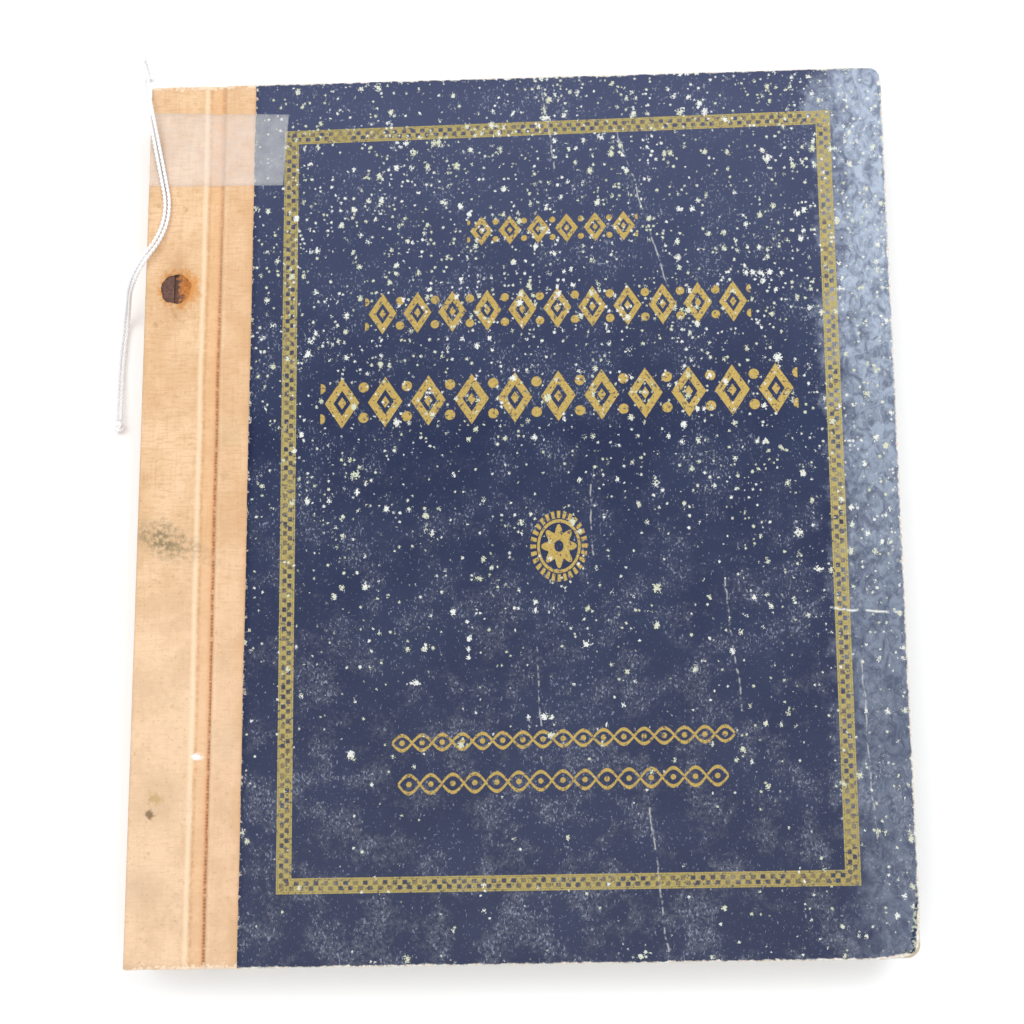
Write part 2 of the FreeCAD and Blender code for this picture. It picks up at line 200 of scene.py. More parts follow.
class Paint:
    """A principled material with patterns laid out in millimetres of its piece's own space."""

    def __init__(self, name, roughness=0.8, specular=0.3, metallic=0.0):
        self.material = bpy.data.materials.new(name)
        self.material.use_nodes = True
        self.tree = self.material.node_tree
        self.shader = self.tree.nodes["Principled BSDF"]
        for name, value in (
            ("Roughness", roughness), ("Metallic", metallic), ("Specular IOR Level", specular),
        ):
            self.shader.inputs[name].default_value = value
        coordinates = self.node("TexCoord")
        scaled = self.node("VectorMath")
        scaled.operation = "SCALE"
        self.feed(scaled.inputs["Scale"], 1.0 / MM)
        self.feed(scaled.inputs[0], coordinates.outputs["Object"])
        self.place = scaled.outputs[0]
        split = self.node("SeparateXYZ", {"Vector": self.place})
        self.x, self.y, self.z = (Field(self, split.outputs[axis]) for axis in "XYZ")
        self.base = None

    def node(self, kind, inputs=None):
        """A new shader node, with its named inputs set or linked."""
        node = self.tree.nodes.new("ShaderNode" + kind)
        for name, value in (inputs or {}).items():
            self.feed(node.inputs[name], value)
        return node

    def feed(self, target, value):
        """Links a field or a socket to the target socket, or sets it to a constant."""
        source = value.socket if isinstance(value, Field) else value
        if isinstance(source, bpy.types.NodeSocket):
            self.tree.links.new(source, target)
        else:
            target.default_value = source

    def stretched(self, factors, shift=UNMOVED):
        node = self.node("Mapping", {"Scale": factors, "Location": shift, "Vector": self.place})
        return node.outputs[0]

    def noise(self, grain, detail=2.0, roughness=0.5, stretch=UNSTRETCHED, shift=UNMOVED, warp=0.0):
        """Cloudy noise with blotches about grain millimetres across."""
        node = self.node("TexNoise", {
            "Scale": 1.0 / grain, "Detail": detail, "Roughness": roughness, "Distortion": warp,
            "Vector": self.stretched(stretch, shift),
        })
        return Field(self, node.outputs["Fac"])

    def flakes(self, grain, limit, more, shift, soft, stretch=UNSTRETCHED):
        """Ragged islands where noise rises above limit; more of them where more is higher."""
        level = self.noise(
            grain, roughness=FLAKE_ROUGHNESS, stretch=stretch, shift=shift, warp=FLAKE_WARP
        )
        return (level + more).ramp(limit, limit + soft)

    def spots(self, pitch, size, share=0.3, ragged=0.3, stretch=UNSTRETCHED, shift=UNMOVED,
              density=None):
        """Irregular spots, one in share of the cells pitch apart, or as often as density says."""
        vector = self.stretched(stretch, shift)
        wobble_node = self.node("TexNoise", {
            "Scale": SPOT_WOBBLE / size, "Detail": 2.0, "Vector": vector,
        })
        moved = self.node("VectorMath")
        moved.operation = "MULTIPLY_ADD"
        flat = self.node("VectorMath")
        flat.operation = "MULTIPLY"
        for target, value in (
            (moved.inputs[0], wobble_node.outputs["Color"]),
            (moved.inputs[1], (ragged * SPOT_WOBBLE * size,) * 3),
            (moved.inputs[2], vector),
            (flat.inputs[0], moved.outputs[0]),
            (flat.inputs[1], (1, 1, 0)),
        ):
            self.feed(target, value)
        cells = self.node("TexVoronoi", {"Scale": 1.0 / pitch, "Vector": flat.outputs[0]})
        split = self.node("SeparateColor", {"Color": cells.outputs["Color"]})
        chance, swell = Field(self, split.outputs[0]), Field(self, split.outputs[1])
        distance = Field(self, cells.outputs["Distance"]) * pitch
        reach = (swell * swell) * (size * (1 - SPOT_SMALLEST)) + size * SPOT_SMALLEST
        if density is None:
            here = chance.below(share, 0.001)
        else:
            here = (density - chance).above(0.0, 0.001)
        return (reach - distance).above(0.0, SPOT_SOFT * size) * here

    def mix(self, mask, under, over):
        """over where mask is 1. Colours are tuples or sockets."""
        node = self.node("Mix")
        node.data_type = "RGBA"
        self.feed(node.inputs["Factor"], mask)
        for name, colour in (("A", under), ("B", over)):
            target = [s for s in node.inputs if s.name == name and s.type == "RGBA"][0]
            self.feed(target, colour + (1.0,) if isinstance(colour, tuple) else colour)
        return [s for s in node.outputs if s.type == "RGBA"][0]

    def coat(self, mask, tint):
        """Lays a tint over base, the colour so far."""
        self.base = self.mix(mask, self.base, tint)

    def varies(self, name, field):
        self.feed(self.shader.inputs[name], field)

    def finished(self, height, depth, strength):
        """The material in its last colour, with relief: height 1 stands depth millimetres up."""
        self.varies("Base Color", self.base)
        bump = self.node("Bump", {"Strength": strength, "Distance": depth * MM, "Height": height})
        self.varies("Normal", bump.outputs[0])
        return self.material


# --- Materials ---

NAVY = (0.01, 0.018, 0.06)
NAVY_LIGHT = (0.016, 0.026, 0.072)
NAVY_UPPER_SHEEN = (0.07, 0.084, 0.158)
NAVY_LOWER = (0.068, 0.072, 0.112)
NAVY_RUBBED = (0.09, 0.096, 0.13)
SCRATCH = (0.26, 0.29, 0.37)
SHEEN = (0.445, 0.51, 0.62)
CHIP = (0.6, 0.62, 0.46)
CHIP_WHITE = (0.76, 0.77, 0.72)
WORN_EDGE = (0.7, 0.58, 0.48)
TORN = (0.4, 0.42, 0.34)
GILT = (0.345, 0.245, 0.068)
GILT_BRIGHT = (0.48, 0.345, 0.11)
GILT_DULL = (0.3, 0.24, 0.085)
GILT_OLIVE = (0.41, 0.34, 0.13)
PEACH = (0.76, 0.49, 0.275)
PEACH_PALE = (0.845, 0.59, 0.375)
PEACH_DARK = (0.52, 0.285, 0.13)
PEACH_LOWER = (0.82, 0.59, 0.41)
PEACH_GROOVE = (0.74, 0.42, 0.205)
PEACH_RIDGE = (0.91, 0.7, 0.49)
PEACH_SHOULDER = (0.92, 0.68, 0.44)
PEACH_QUARTER = (0.62, 0.36, 0.195)
PEACH_HEM = (0.62, 0.365, 0.185)
CREASE_SHADE = (0.7, 0.33, 0.15)
CREASE = (0.33, 0.125, 0.05)
GRIME = (0.5, 0.37, 0.24)
SPECK = (0.46, 0.24, 0.1)
FOX = (0.42, 0.25, 0.12)
BARE_MARK = (0.88, 0.86, 0.84)
FRAYED = (0.9, 0.76, 0.6)
END_LINE = (0.58, 0.33, 0.2)
SPINE_WORN = (0.52, 0.36, 0.25)
SOOT = (0.24, 0.185, 0.1)
RUST = (0.42, 0.13, 0.025)
RUST_BRIGHT = (0.62, 0.25, 0.055)
RUST_DARK = (0.095, 0.05, 0.04)
RUST_BROWN = (0.19, 0.095, 0.07)
RUST_RUN = (0.45, 0.24, 0.11)
PAGE = (0.8, 0.74, 0.6)
PAGE_PALE = (0.84, 0.79, 0.67)
PAGE_TONED = (0.6, 0.48, 0.31)
PAGE_GRID = (0.42, 0.46, 0.5)
PAGE_BORDER = (0.25, 0.24, 0.27)
PAGE_FOXING = (0.52, 0.34, 0.17)
STRAW = (0.56, 0.46, 0.33)
CARD = (0.66, 0.55, 0.38)
STRAW_FIBRE = (0.78, 0.7, 0.56)
CREAM = (0.78, 0.7, 0.54)
CREAM_PALE = (0.83, 0.77, 0.63)
CREAM_TONED = (0.56, 0.42, 0.25)
CREAM_FOXING = (0.48, 0.31, 0.15)
COTTON = (0.9, 0.9, 0.92)
LINEN_TONE = (0.72, 0.66, 0.52)
HAZE = (0.86, 0.86, 0.86)
HAZE_PALE = (0.93, 0.93, 0.93)

# Patterns on the front cover, in millimetres: (centre, half length, half height, how many).
LOZENGE_ROWS = (
    ((11.0, 80.0), 24.8, 4.4, 6),
    ((12.2, 56.1), 55.6, 6.1, 11),
    ((12.2, 30.0), 68.2, 7.4, 11),
)
BRAIDS = (((12.5, -66.8), 47.3, 2.5, 17), ((12.3, -78.1), 45.4, 2.9, 15))
ROSETTE = ((11.9, -13.3), 8.2)
ROW_SLOPE = 0.012
PETALS, BEADS = 8.0, 28.0
# The frame's width, the line inside each edge, and its squares' pitch and half width.
BAND, RULE, SQUARE_PITCH, SQUARE = 4.2, 0.45, 2.7, 0.66
LONG_CREASE = (86.0, -32.2, 109.0, -33.8)
FAINT_CREASES = (
    (95.0, -46.0, 97.0, -96.0), (21.0, 4.0, 21.5, -16.0), (8.0, 124.0, 12.0, 98.0),
    (36.0, -86.0, 40.0, -124.0), (58.0, -24.0, 62.0, -60.0), (5.5, -40.0, 6.5, -64.0),
    (30.0, 110.0, 44.0, 62.0),
)
# Stains on the front cloth: x, y and reach in millimetres, strength, tint.
STAINS = (
    (-100.3, -81.2, 2.6, 0.75, (0.5, 0.32, 0.12)),
    (-101.6, -85.5, 1.5, 0.95, (0.16, 0.085, 0.04)),
    (-99.0, -83.0, 9.0, 0.25, (0.48, 0.36, 0.22)),
    (-96.5, 88.5, 0.9, 0.6, FOX),
    (-104.6, 90.0, 1.0, 0.5, FOX),
    (-104.5, 54.0, 1.0, 0.5, FOX),
    (-98.5, 56.5, 1.0, 0.5, FOX),
    (-82.5, 21.0, 5.5, 0.3, (0.5, 0.36, 0.2)),
    (-83.0, 9.0, 1.6, 0.45, (0.46, 0.3, 0.16)),
    (-104.0, -105.0, 9.0, 0.22, (0.52, 0.4, 0.28)),
    (-81.0, -66.0, 7.0, 0.22, (0.5, 0.38, 0.26)),
)
WEAVE_PITCH = 0.56
CREASE_DOT_PITCH = 0.95
GRID_PITCH = 5.0
ENDPAPER_MARGIN = 4.5


def line_field(paint, x_from, y_from, x_to, y_to, reach):
    """1 along a straight line on the cover, falling to 0 reach millimetres away from it."""
    length = hypot(x_to - x_from, y_to - y_from)
    along_x, along_y = (x_to - x_from) / length, (y_to - y_from) / length
    dx, dy = paint.x - x_from, paint.y - y_from
    along = dx * along_x + dy * along_y
    beyond = (0.0 - along).highest(along - length).highest(0.0)
    across = dx * along_y - dy * along_x + (paint.noise(9.0, 3.0) - 0.5) * 2.4
    return longest(across, beyond).ramp(reach, 0.0)


def gilt_border(paint):
    """Double-ruled frame with two staggered rows of small dark squares."""
    upright = (paint.x - (-67.0 - paint.y * 0.0064)).lowest(92.55 - paint.x)
    level = (112.8 + paint.x * 0.012 - paint.y).lowest(paint.y + 107.5)
    inside = upright.lowest(level)
    frame_mask = inside.above(0.0, 0.06) * inside.below(BAND, 0.06)
    run = chosen((upright - level).below(0.0, 0.02), paint.x, paint.y)
    dark = None
    for place, start in ((0.335, 0.0), (0.665, SQUARE_PITCH / 2)):
        row = abs(inside - BAND * place).below(SQUARE * 0.9, 0.12)
        tick = (run + start).folded(SQUARE_PITCH).below(SQUARE, 0.12)
        dark = row * tick if dark is None else dark.highest(row * tick)
    smear = paint.noise(5.0, 2.0, shift=(8, 8, 0)).ramp(0.36, 0.56)
    line = abs(inside - RULE).below(0.08, 0.06)
    line = line.highest(abs(inside - (BAND - RULE)).below(0.08, 0.06))
    return frame_mask * (1.0 - (dark * (0.45 + smear * 0.5)).highest(line * 0.4))


def along_row(paint, centre, half_long, count):
    """Place along and above a sloping row, and the pitch of what it repeats."""
    dx = paint.x - centre[0]
    return dx, paint.y - centre[1] - dx * ROW_SLOPE, 2.0 * half_long / count


def lozenge_row(paint, centre, half_long, half_tall, count):
    """A row of hollow lozenges with dots between them."""
    dx, dy, pitch = along_row(paint, centre, half_long, count)
    phase = dx if count % 2 else dx + pitch / 2
    steps = abs(phase.math("WRAP", -pitch / 2, pitch / 2))
    across = steps * (half_tall * 1.25 / (pitch / 2)) + abs(dy)
    lozenge = across.below(half_tall, 0.1) * (1.0 - across.below(half_tall * 0.5, 0.1))
    heart = across.below(half_tall * 0.24, 0.1)
    between = pitch / 2 - steps
    dot = longest(between, abs(dy) - half_tall * 0.6).below(half_tall * 0.2, 0.08)
    inside = abs(dx).below(half_long, 0.08)
    return lozenge.highest(heart).highest(dot) * inside


def braid(paint, centre, half_long, half_tall, count):
    """Two waves that cross, with a bead in each eye."""
    dx, dy, pitch = along_row(paint, centre, half_long, count)
    wave = (dx * (pi / pitch) + pi * count / 2).math("SINE") * (half_tall - 0.45)
    strand = abs(abs(dy) - abs(wave)).below(0.48, 0.1)
    bead = longest((dx + pitch * (count % 2) / 2).folded(pitch) - pitch / 2, dy).below(0.75, 0.1)
    return strand.highest(bead) * abs(dx).below(half_long, 0.08)


def roundel(paint, centre, radius):
    """A plain rosette: ringed disc with petals inside and beads round the rim."""
    dx, dy = paint.x - centre[0], (paint.y - centre[1]) * 0.8
    distance = longest(dx, dy)
    angle = dy.math("ARCTAN2", dx)
    petals = (angle * PETALS).math("COSINE") * (radius * 0.11) + radius * 0.5
    rim = abs(distance - radius * 0.88).below(radius * 0.1, 0.06)
    beads = (angle * BEADS).math("COSINE").above(-0.2, 0.3)
    flower = (petals - distance).above(0.0, 0.06)
    eye = distance.below(radius * 0.16, 0.06)
    ring = abs(distance - radius * 0.7).below(radius * 0.045, 0.05)
    return (rim * beads).highest(flower * (1.0 - eye)).highest(ring)


def cover_paint(name, gilded):
    """Dark blue grained paper: flaked, scratched, creased and worn at its edges, with painted sheen
    towards the head and along the fore-edge margin.
    """
    paint = Paint(name, roughness=0.5, specular=0.18)
    x, y = paint.x, paint.y
    broad = paint.noise(24.0, 3.0, 0.55)
    cloud = paint.noise(8.0, 4.0, 0.62, shift=(31, 7, 0))
    fine = paint.noise(1.1, 3.0, 0.65)
    grain = paint.noise(0.5, 2.0, 0.6)

    paint.base = paint.mix(broad.ramp(0.42, 0.6), NAVY, NAVY_LIGHT)
    # Painted sheen: the navy made lighter towards the head.
    paint.coat(y.ramp(20.0, 115.0) * 0.6, NAVY_UPPER_SHEEN)
    low = y.ramp(20.0, -110.0)
    paint.coat(low * 0.34, NAVY_LOWER)
    paint.coat(cloud.ramp(0.46, 0.6) * (0.1 + low * 0.8) * fine.ramp(0.4, 0.58), NAVY_RUBBED)
    # Painted sheen: a paler reflection along the fore-edge margin, stronger towards the head and
    # broken up by the grain.
    margin = (x + (cloud - 0.5) * 30.0).ramp(86.5, 97.5)
    leather = paint.noise(2.6, 4.0, 0.68, stretch=(1.0, 0.7, 1.0), shift=(7, 2, 4), warp=0.8)
    painted_sheen = margin * (0.24 + y.ramp(-75.0, 70.0) * 0.62) * (0.36 + leather.ramp(0.38, 0.6) * 0.64)
    paint.coat(painted_sheen, SHEEN)
    patch = (cloud * 0.7 + broad * 0.3).ramp(0.47, 0.6) * 0.095 + low * 0.022
    scratch = paint.flakes(0.55, 0.665, patch, shift=(2, 4, 0), soft=0.06, stretch=(1, 0.6, 1))
    paint.coat(scratch * 0.62, SCRATCH)

    if gilded:
        border = gilt_border(paint)
        gold = border.highest(roundel(paint, *ROSETTE))
        for row in LOZENGE_ROWS:
            gold = gold.highest(lozenge_row(paint, *row))
        for row in BRAIDS:
            gold = gold.highest(braid(paint, *row))
        gold = gold * (fine.ramp(0.63, 0.56) * 0.8 + 0.2)
        letter_tone = paint.mix(grain.ramp(0.36, 0.64), GILT, GILT_BRIGHT)
        border_tone = paint.mix(grain.ramp(0.36, 0.64), GILT_DULL, GILT_OLIVE)
        paint.coat(gold, paint.mix(border, letter_tone, border_tone))

    spread = paint.noise(17.0, 3.0, 0.6, shift=(11, 3, 0)).ramp(0.4, 0.6)
    density = (y.ramp(-75.0, 75.0) * 0.62 + 0.07) * (0.4 + spread * 0.75)
    density = density + x.ramp(55.0, 108.0) * 0.16
    edge = (FORE_EDGE / MM - x).lowest(HALF_TALL / MM - abs(y))
    density = density + edge.ramp(3.5, 0.5) * 0.3
    chips = paint.spots(2.1, 0.84, ragged=1.3, density=density, stretch=(1, 0.85, 1))
    for pitch, size, ragged, more, shift in (
        (1.2, 0.48, 1.2, 1.1, (5, 1, 0)),
        (5.0, 1.35, 1.4, 0.5, (4, 8, 0)),
    ):
        finer = paint.spots(pitch, size, ragged=ragged, density=density * more, shift=shift)
        chips = chips.highest(finer)
    tone = paint.noise(9.0, 1.0, shift=(2, 2, 8)).ramp(0.42, 0.58)
    paint.coat(chips * 0.92, paint.mix(tone, CHIP, CHIP_WHITE))

    creases = line_field(paint, *LONG_CREASE, 0.5)
    for line in FAINT_CREASES:
        creases = creases.highest(line_field(paint, *line, 0.35) * 0.5)
    creases = creases * paint.noise(2.4, 3.0, 0.7, shift=(6, 1, 2)).ramp(0.45, 0.56)
    paint.coat(creases, CHIP_WHITE)

    rag = (paint.noise(2.6, 3.0, 0.7) - 0.5) * 7.0
    from_fore_edge, from_foot = x - FORE_EDGE / MM, y + HALF_TALL / MM
    corner = longest(from_fore_edge, from_foot * 0.42).ramp(4.0, 15.0) * 6.0
    torn = (edge + rag * 0.6 + corner).below(2.5, 0.25)
    paint.coat(torn, paint.mix(fine.ramp(0.44, 0.54), TORN, NAVY_LIGHT))
    corner = longest(from_fore_edge, from_foot).ramp(13.0, 3.0) * 1.3
    worn = (edge + rag * 0.24 - corner).below(0.45, 0.2)
    paint.coat(worn, paint.mix(fine.ramp(0.45, 0.55), WORN_EDGE, CHIP_WHITE))
    start = (x - PAPER_START / MM) + (paint.noise(1.6, 3.0, 0.7, shift=(9, 9, 0)) - 0.5) * 6.0
    paint.coat(start.below(-0.25, 0.2) * 0.85, WORN_EDGE)

    bare = chips.highest(worn).highest(creases)
    paint.varies("Roughness", 0.42 + grain * 0.2 + bare * 0.35)
    if gilded:
        paint.varies("Metallic", gold * (1.0 - bare) * 0.55)
    return paint.finished(grain * 0.5 + fine * 0.9 - bare * 0.4, 0.16, 0.7)


def coat_groove(paint, cloud, fine):
    """The cloth between strip and cover: painted highlight on the ridge, painted shade in the
    groove, furrow and crease, and a darker quarter.
    """
    x, y = paint.x, paint.y
    strip_edge, board_edge = STRIP_END / MM, GROOVE_END / MM
    wander = (paint.noise(30.0, 1.0, shift=(0, 4, 4)) - 0.5) * 1.6

    def stripe(place, sway, far, near):
        """1 within near millimetres of a wandering upright line, 0 beyond far."""
        return abs(x - place + wander * sway).ramp(far, near)

    # Painted shade: the cloth sunk in the groove between the boards is darkened.
    groove = (x - (strip_edge + 1.0)).ramp(0.0, 1.0) * (x - board_edge).ramp(0.0, -1.0)
    paint.coat(groove * 0.42, PEACH_GROOVE)
    # Painted highlight: a pale line where the strip board's edge catches the light.
    paint.coat(stripe(strip_edge + 0.55, 0.5, 1.0, 0.1) * 0.65, PEACH_RIDGE)
    # Painted shade: a darker line along the bottom of the furrow.
    furrow = stripe(strip_edge + 1.7, 0.5, 0.7, 0.1)
    paint.coat(furrow * (0.16 + fine.ramp(0.4, 0.6) * 0.42), PEACH_DARK)
    # Painted shade along the crease at the cover board's edge: a wide darker band and a dotted dark
    # line, both fading towards the head.
    crease_dots = y.folded(CREASE_DOT_PITCH).ramp(0.0, 0.45) * 0.45 + 0.55
    depth = y.ramp(105.0, 40.0) * 0.7 + 0.3
    paint.coat(stripe(board_edge - 0.6, 0.4, 1.5, 0.2) * depth * 0.4, CREASE_SHADE)
    crease = stripe(board_edge - 0.6, 0.4, 0.62, 0.1) * depth
    paint.coat(crease * crease_dots * fine.ramp(0.3, 0.5), CREASE)
    # Painted highlight: a faint pale line on the cover board's edge.
    paint.coat(stripe(board_edge + 0.7, 0.4, 0.8, 0.1) * 0.12, PEACH_SHOULDER)
    paint.coat((x - board_edge).ramp(0.0, 1.5) * 0.22, PEACH_QUARTER)
    hem = (x - (PAPER_START / MM - 2.6) + (cloud - 0.5) * 9.0).ramp(0.0, 2.4)
    paint.coat(hem * 0.42, PEACH_HEM)


def coat_stains(paint, cloud, fine, speck):
    """Rust round the screw, a sooty smudge, spots and one bare mark."""
    x, y = paint.x, paint.y
    from_screw_x, from_screw_y = x - SCREW.x / MM, y - SCREW.y / MM
    rim = longest(from_screw_x - 0.9, from_screw_y) + (fine - 0.5) * 9.0
    paint.coat(rim.ramp(6.6, 4.5) * 0.85, RUST_BRIGHT)
    run = longest(from_screw_x * 1.5, from_screw_y * 0.62) + (fine - 0.5) * 10.0
    paint.coat(run.ramp(7.5, 3.0) * 0.42, RUST_RUN)
    smudge = longest((x + 101.5) * 0.4, y + 9.4 + (x + 99.5) * 0.24) + (cloud - 0.5) * 12.0
    dabs = fine.ramp(0.42, 0.58) * 0.66 + speck * 0.26 + 0.24
    paint.coat(smudge.ramp(6.6, 1.6) * dabs, SOOT)
    for spot_x, spot_y, reach, strength, tint in STAINS:
        spot = longest(x - spot_x, y - spot_y) + (fine - 0.5) * reach * 3.0
        paint.coat(spot.ramp(reach, reach * 0.3) * strength, tint)
    mark = longest((x + 88.9) * 0.6, y + 70.1) + (fine - 0.5) * 2.5
    paint.coat(mark.ramp(1.1, 0.5), BARE_MARK)


def cloth_paint(name, front=True):
    """Peach book cloth: fine plain weave, with a painted highlight on its ridge and painted shade
    in its groove and crease.
    """
    paint = Paint(name, roughness=0.86, specular=0.2)
    x, y, z = paint.x, paint.y, paint.z
    cloud = paint.noise(15.0, 4.0, 0.62)
    fine = paint.noise(1.5, 3.0, 0.65, shift=(5, 1, 0))
    thread_noise = (fine - 0.5) * 0.9
    warp = (x + z + thread_noise).folded(WEAVE_PITCH).ramp(0.0, WEAVE_PITCH / 2)
    weft = (y + thread_noise).folded(WEAVE_PITCH).ramp(0.0, WEAVE_PITCH / 2)
    slub = paint.noise(0.6, 2.0, 0.6, stretch=(0.16, 1.0, 1.0))
    ribs = paint.noise(0.7, 2.0, 0.6, stretch=(1.0, 0.1, 1.0), shift=(0, 3, 0))

    paint.base = paint.mix(cloud.ramp(0.42, 0.6), PEACH_PALE, PEACH)
    paint.coat(slub.ramp(0.47, 0.66) * 0.34, PEACH_DARK)
    paint.coat(ribs.ramp(0.5, 0.68) * 0.22, PEACH_DARK)
    paint.coat((1.0 - warp.lowest(weft)) * 0.2, PEACH_DARK)
    paint.coat(y.ramp(0.0, -50.0) * 0.5, PEACH_LOWER)
    grime = (cloud * 0.6 + fine * 0.4).ramp(0.47, 0.58) * (0.14 + y.ramp(40.0, -110.0) * 0.18)
    paint.coat(grime, GRIME)
    speck = paint.flakes(0.9, 0.655, fine.ramp(0.4, 0.6) * 0.03, shift=(3, 3, 1), soft=0.03)
    paint.coat(speck * 0.38, SPECK)
    if front:
        coat_groove(paint, cloud, fine)
        coat_stains(paint, cloud, fine, speck)
    end = HALF_TALL / MM - abs(y) + (fine - 0.5) * 7.0
    paint.coat(end.ramp(1.2, 0.2) * 0.6, FRAYED)
    paint.coat(abs(end - 1.3).ramp(0.5, 0.1) * 0.35, END_LINE)
    paint.coat((x - SPINE_X / MM).ramp(0.9, 0.1) * fine.ramp(0.4, 0.56) * 0.45, SPINE_WORN)
    return paint.finished(warp.lowest(weft) * 0.6 + slub * 0.8 + ribs * 0.6, 0.15, 0.6)


def leaf_paint(name, ruled=True):
    """Ivory album leaf: toned edges and, on a ruled page, a faint quadrille inside a border."""
    paint = Paint(name, roughness=0.85, specular=0.2)
    x, y = paint.x, paint.y
    cloud = paint.noise(30.0, 4.0, 0.6)
    fine = paint.noise(0.5, 3.0, 0.6)
    edge = (LEAF_END / MM - x).lowest(LEAF_HALF_TALL / MM - abs(y))
    paint.base = paint.mix(cloud.ramp(0.3, 0.7), PAGE, PAGE_PALE)
    paint.coat(edge.ramp(7.0, 0.0) * 0.55, PAGE_TONED)
    if ruled:
        inside = (82.0 - abs(x - 9.5)).lowest(112.0 - abs(y))
        lines = x.folded(GRID_PITCH).below(0.09, 0.05)
        lines = lines.highest(y.folded(GRID_PITCH).below(0.09, 0.05))
        paint.coat(lines * inside.above(1.6, 0.1) * 0.3, PAGE_GRID)
        border = abs(inside).below(0.28, 0.05).highest(abs(inside - 1.2).below(0.1, 0.05))
        paint.coat(border * 0.75, PAGE_BORDER)
    paint.coat(paint.spots(17.0, 1.4, ragged=0.6) * 0.35, PAGE_FOXING)
    return paint.finished(fine, 0.05, 0.35)


def darker(tone, share):
    return tuple(channel * share for channel in tone)


def board_paint(name, tone):
    """Strawboard or card: fibrous, with the layers showing at its edges."""
    paint = Paint(name, roughness=0.92, specular=0.15)
    layers = paint.noise(0.35, 3.0, 0.6, stretch=(0.06, 0.06, 1.0))
    fibre = paint.noise(0.8, 4.0, 0.7)
    paint.base = paint.mix(layers.ramp(0.35, 0.65) * 0.6, tone, darker(tone, 0.68))
    paint.coat(fibre.ramp(0.55, 0.75) * 0.5, STRAW_FIBRE)
    return paint.finished(layers + fibre, 0.12, 0.6)


def endpaper_paint(name):
    """Cream endpaper, toned towards the turn-ins and lightly spotted."""
    paint = Paint(name, roughness=0.82, specular=0.2)
    cloud = paint.noise(35.0, 5.0, 0.6)
    half_tall = HALF_TALL / MM - ENDPAPER_MARGIN
    edge = (FORE_EDGE / MM - ENDPAPER_MARGIN - paint.x).lowest(half_tall - abs(paint.y))
    paint.base = paint.mix(cloud.ramp(0.3, 0.7), CREAM, CREAM_PALE)
    paint.coat((edge + (cloud - 0.5) * 9.0).ramp(13.0, 0.0) * 0.45, CREAM_TONED)
    paint.coat(paint.spots(14.0, 1.6, 0.35, ragged=0.6) * 0.4, CREAM_FOXING)
    return paint.finished(paint.noise(0.6, 3.0, 0.6), 0.05, 0.35)


def rust_paint(name):
    """Mild steel gone dark brown, orange towards its +x side."""
    paint = Paint(name, roughness=0.72, specular=0.4, metallic=0.25)
    pits = paint.noise(0.55, 4.0, 0.7)
    patch = paint.noise(2.2, 3.0, 0.65, shift=(3, 3, 0))
    side = ((paint.x - SCREW.x / MM) + (patch - 0.5) * 9.0).ramp(0.9, 2.3)
    pitted = pits.ramp(0.42, 0.6)
    paint.base = paint.mix(pitted, RUST_DARK, RUST_BROWN)
    paint.coat(side * 0.95, paint.mix(pitted, RUST, RUST_BRIGHT))
    return paint.finished(pits, 0.25, 0.8)


def linen_paint(name, tone):
    """Thin cloth or twisted cotton."""
    paint = Paint(name, roughness=0.9, specular=0.15)
    threads = paint.noise(0.3, 2.0, 0.6, stretch=(1, 0.5, 1))
    paint.base = paint.mix(threads.ramp(0.4, 0.7) * 0.5, tone, darker(tone, 0.8))
    return paint.finished(threads, 0.06, 0.5)


def tape_paint(name):
    """Clear tape with a matt haze."""
    paint = Paint(name, roughness=0.38, specular=0.5)
    haze = paint.noise(5.0, 4.0, 0.6)
    paint.base = paint.mix(haze.ramp(0.3, 0.7), HAZE, HAZE_PALE)
    paint.varies("Alpha", haze.ramp(0.35, 0.65) * 0.065 + 0.14)
    return paint.finished(paint.noise(2.5, 3.0, 0.5, stretch=(1, 0.2, 1)), 0.03, 0.3)


FRONT_PAPER = cover_paint("front_cover_paper_paint", True)
BACK_PAPER = cover_paint("back_cover_paper_paint", False)
FRONT_CLOTH = cloth_paint("front_cloth_paint")
BACK_CLOTH = cloth_paint("back_cloth_paint", False)
LEAF_PAPER = leaf_paint("leaf_paint")
PLAIN_PAPER = leaf_paint("flyleaf_paint", False)
BOARD = board_paint("strawboard_paint", STRAW)
GUARD = board_paint("guard_card_paint", CARD)
ENDPAPER = endpaper_paint("endpaper_paint")
STEEL = rust_paint("rusty_steel_paint")
STRING = linen_paint("string_paint", COTTON)
LINEN = linen_paint("linen_hinge_paint", LINEN_TONE)
TAPE = tape_paint("tape_paint")


# --- Mesh helpers ---


def new_piece(name, points, faces, material, smooth=True):
    mesh = bpy.data.meshes.new(name)
    mesh.from_pydata([tuple(p) for p in points], [], faces)
    mesh.update()
    mesh.polygons.foreach_set("use_smooth", [smooth] * len(mesh.polygons))
    piece = placed(name, mesh)
    mesh.materials.append(material)
    return piece


def grid_faces(columns, rows):
    """Quads between neighbouring points of a grid stored column by column."""
    starts = [column * rows + row for column in range(columns - 1) for row in range(rows - 1)]
    return [(a, a + rows, a + rows + 1, a + 1) for a in starts]


def flipped(faces):
    return [face[::-1] for face in faces]


def apply_modifiers(piece):
    """Turns the piece's modifiers into mesh."""
    graph = bpy.context.evaluated_depsgraph_get()
    mesh = bpy.data.meshes.new_from_object(piece.evaluated_get(graph))
    piece.modifiers.clear()
    piece.data = mesh


def thicken(piece, thickness):
    """Gives a surface its thickness, on the side away from its normals."""
    solid = piece.modifiers.new("thickness", "SOLIDIFY")
    solid.thickness = thickness
    solid.offset = -1.0
    solid.use_even_offset = True
    apply_modifiers(piece)


